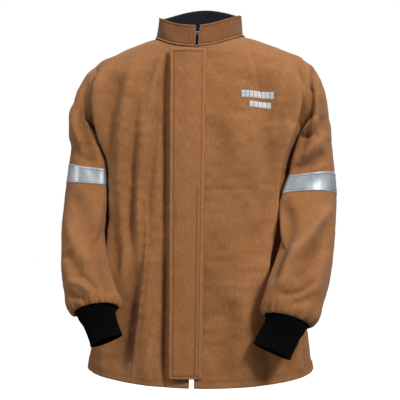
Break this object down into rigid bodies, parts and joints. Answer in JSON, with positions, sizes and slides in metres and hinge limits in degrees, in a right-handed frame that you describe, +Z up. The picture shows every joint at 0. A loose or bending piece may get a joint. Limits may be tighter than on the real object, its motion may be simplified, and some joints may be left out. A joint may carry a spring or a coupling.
{
  "type": "arc-flash work coat",
  "caption": "Thigh-length brown duck work coat with stand collar, storm flap over a zip, reflective arm bands and black knit cuffs.",
  "frame": {"origin": "middle of the neck opening, level with the neck seam beside the neck", "axes": "+Z up, the coat's front faces -Y, the wearer's left is +X"},
  "size_m": [0.6857, 0.3892, 0.9382],
  "materials": {
    "tan_cloth": "brown-tan duck cloth, matt",
    "collar_cloth": "brown-tan duck cloth, matt",
    "black_lining": "black woven lining, matt",
    "black_knit": "black rib knit, matt",
    "black_tape": "black woven tape",
    "liner_cloth": "dark navy quilted liner",
    "reflective_tape": "silver retro-reflective tape",
    "hook_and_loop": "black hook-and-loop tape",
    "brass": "brass zip metal",
    "label_cloth": "blank white woven label",
    "chest_print": "pale grey transfer print, plain bars"
  },
  "bodies": {
    "root": {"back_panel": "tan_cloth", "back_liner": "liner_cloth", "back_hem_facing": "tan_cloth", "right_front_panel": "tan_cloth", "right_front_liner": "liner_cloth", "right_front_facing": "tan_cloth", "right_hem_facing": "tan_cloth", "left_front_panel": "tan_cloth", "left_front_liner": "liner_cloth", "left_front_facing": "tan_cloth", "left_hem_facing": "tan_cloth", "collar_outer": "collar_cloth", "collar_lining": "black_lining", "neck_seam_welt": "tan_cloth", "zip_tape_right": "black_tape", "zip_teeth_right": "brass", "zip_top_stop_right": "brass", "zip_tape_left": "black_tape", "zip_teeth_left": "brass", "zip_top_stop_left": "brass", "zip_insertion_pin": "brass", "zip_retainer_box": "brass", "loop_strip_1": "hook_and_loop", "loop_strip_2": "hook_and_loop", "loop_strip_3": "hook_and_loop", "loop_strip_4": "hook_and_loop", "hanger_loop": "black_tape", "neck_label": "label_cloth", "inside_pocket": "liner_cloth", "chest_print_upper": "chest_print", "chest_print_lower": "chest_print"},
    "storm_flap": {"storm_flap": "tan_cloth", "flap_facing": "tan_cloth", "hook_strip_1": "hook_and_loop", "hook_strip_2": "hook_and_loop", "hook_strip_3": "hook_and_loop", "hook_strip_4": "hook_and_loop"},
    "zip_slider": {"zip_slider": "brass"},
    "zip_pull_tab": {"zip_pull_tab": "brass"},
    "right_sleeve": {"right_upper_sleeve_front": "tan_cloth", "right_upper_sleeve_back": "tan_cloth", "right_lower_sleeve_front": "tan_cloth", "right_lower_sleeve_back": "tan_cloth", "right_sleeve_liner": "liner_cloth", "right_reflective_band": "reflective_tape", "right_knit_cuff": "black_knit"},
    "left_sleeve": {"left_upper_sleeve_front": "tan_cloth", "left_upper_sleeve_back": "tan_cloth", "left_lower_sleeve_front": "tan_cloth", "left_lower_sleeve_back": "tan_cloth", "left_sleeve_liner": "liner_cloth", "left_reflective_band": "reflective_tape", "left_knit_cuff": "black_knit"}
  },
  "joints": [
    {"name": "right_sleeve_lift", "type": "hinge", "parent": "root", "child": "right_sleeve", "pos_m": [-0.268, 0, -0.066], "axis": [0, 1, 0], "range_deg": [0, 60]},
    {"name": "left_sleeve_lift", "type": "hinge", "parent": "root", "child": "left_sleeve", "pos_m": [0.268, 0, -0.066], "axis": [0, -1, 0], "range_deg": [0, 60]},
    {"name": "storm_flap_open", "type": "hinge", "parent": "root", "child": "storm_flap", "pos_m": [0.024, -0.13881, -0.452], "axis": [0, 0.1012, 0.9949], "range_deg": [0, 134]},
    {"name": "zip_slide", "type": "slide", "parent": "root", "child": "zip_slider", "axis": [0, -0.1012, -0.9949], "range_m": [0, 0.7]},
    {"name": "pull_tab_lift", "type": "hinge", "parent": "zip_slider", "child": "zip_pull_tab", "pos_m": [0.004, -0.09827, -0.077], "axis": [-1, 0, 0], "range_deg": [0, 67]}
  ],
  "couplings": [
    {"joint": "pull_tab_lift", "follows": "storm_flap_open", "ratio": 0.5}
  ]
}
